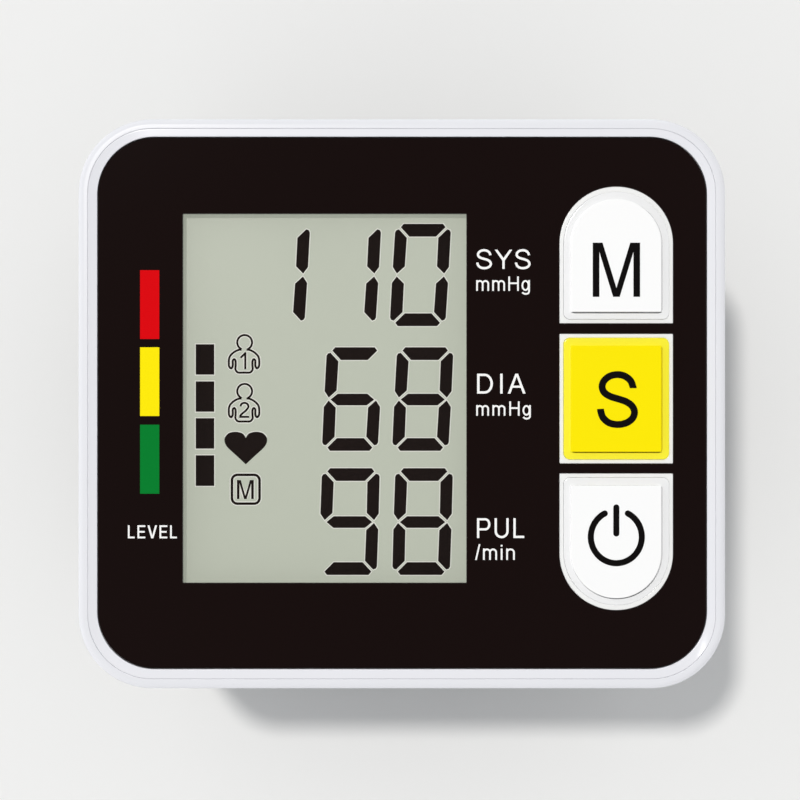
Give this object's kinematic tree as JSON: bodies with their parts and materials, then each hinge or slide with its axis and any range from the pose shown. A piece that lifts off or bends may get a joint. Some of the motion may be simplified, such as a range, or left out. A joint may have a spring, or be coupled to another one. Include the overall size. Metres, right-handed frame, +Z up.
{
  "type": "wrist blood pressure monitor",
  "caption": "Wrist blood pressure monitor: a white rounded case with a black face, a display window and a column of keys, standing on its closed fabric wrist cuff.",
  "frame": {"origin": "on the table, under the middle of the object's box", "axes": "+Z up, out of the display; +X to the right of the face, across the keys; +Y to the top of the face"},
  "size_m": [0.0756, 0.066, 0.0791],
  "materials": {
    "shell_white": "satin moulded white",
    "panel_black": "gloss black printed panel",
    "lens_clear": "clear polished",
    "display_glass": "grey green reflective display",
    "key_white": "satin white",
    "key_yellow": "satin yellow",
    "board_green": "green solder mask",
    "black_plastic": "moulded black",
    "steel": "plated",
    "contact_metal": "plated strip",
    "cell_jacket": "printed jacket",
    "grey_rubber": "soft grey rubber",
    "hose_rubber": "translucent silicone",
    "lead_red": "insulated wire",
    "lead_black": "insulated wire",
    "cuff_fabric": "brushed loop pile",
    "lining_fabric": "plain weave",
    "binding_tape": "folded edge tape",
    "hook_tape": "hook fastener tape",
    "bladder_film": "welded film",
    "former_sheet": "bent sheet"
  },
  "bodies": {
    "monitor": {"rear_housing": "shell_white", "front_housing": "shell_white", "front_panel": "panel_black", "display_window": "lens_clear", "case_screw_1": "steel", "case_screw_2": "steel", "case_screw_3": "steel", "case_screw_4": "steel", "board_screw_1": "steel", "board_screw_2": "steel", "cuff_plate_screw_1": "steel", "cuff_plate_screw_2": "steel", "lcd_cell": "display_glass", "lcd_frame": "shell_white", "zebra_strip": "grey_rubber", "main_board": "board_green", "processor_chip": "black_plastic", "buzzer": "black_plastic", "switch_base_memory": "black_plastic", "switch_base_set": "black_plastic", "switch_base_power": "black_plastic", "battery_outer": "cell_jacket", "battery_inner": "cell_jacket", "contact_bridge": "contact_metal", "contact_negative": "contact_metal", "contact_positive": "contact_metal", "contact_spring_negative": "steel", "contact_spring_bridge": "steel", "battery_bay_cover": "shell_white", "pump_motor": "steel", "pump_sleeve": "grey_rubber", "pump_diaphragm": "grey_rubber", "pump_head": "black_plastic", "pump_lead_red": "lead_red", "pump_lead_black": "lead_black", "valve_body": "black_plastic", "air_manifold": "black_plastic", "pressure_sensor": "black_plastic", "hose_sensor": "hose_rubber", "hose_valve": "hose_rubber", "hose_pump": "hose_rubber", "cuff_lining": "lining_fabric", "cuff_bladder": "bladder_film", "cuff_former": "former_sheet", "cuff_outer": "cuff_fabric", "bladder_port": "black_plastic", "cuff_binding_left": "binding_tape", "cuff_binding_right": "binding_tape", "cuff_plate": "black_plastic"},
    "memory_key": {"button_memory": "key_white", "switch_plunger_memory": "black_plastic"},
    "set_key": {"button_set": "key_yellow", "switch_plunger_set": "black_plastic"},
    "power_key": {"button_power": "key_white", "switch_plunger_power": "black_plastic"},
    "door": {"battery_door": "shell_white"},
    "cuff_flap": {"cuff_tail": "cuff_fabric", "hook_tape": "hook_tape"},
    "pump_rotor": {"pump_shaft": "steel"},
    "valve_core": {"valve_plunger": "steel"}
  },
  "joints": [
    {"name": "memory_key_press", "type": "slide", "parent": "monitor", "child": "memory_key", "axis": [0, 0, -1], "range_m": [0, 0.0005], "stiffness_N_per_m": 400, "springref_m": -0.004},
    {"name": "set_key_press", "type": "slide", "parent": "monitor", "child": "set_key", "axis": [0, 0, -1], "range_m": [0, 0.0005], "stiffness_N_per_m": 400, "springref_m": -0.004},
    {"name": "power_key_press", "type": "slide", "parent": "monitor", "child": "power_key", "axis": [0, 0, -1], "range_m": [0, 0.0005], "stiffness_N_per_m": 400, "springref_m": -0.004},
    {"name": "battery_door_pull", "type": "slide", "parent": "monitor", "child": "door", "axis": [-1, 0, 0], "range_m": [0, 0.012]},
    {"name": "cuff_flap_peel", "type": "hinge", "parent": "monitor", "child": "cuff_flap", "pos_m": [0.00035, -0.0319, 0.0207], "axis": [1, 0, 0], "range_deg": [0, 90]},
    {"name": "pump_spin", "type": "hinge", "parent": "monitor", "child": "pump_rotor", "pos_m": [0.0203, 0.008, 0.059], "axis": [0, 1, 0], "continuous": true},
    {"name": "valve_close", "type": "slide", "parent": "monitor", "child": "valve_core", "axis": [0, -1, 0], "range_m": [0, 0.0008], "stiffness_N_per_m": 100, "springref_m": -0.003}
  ]
}
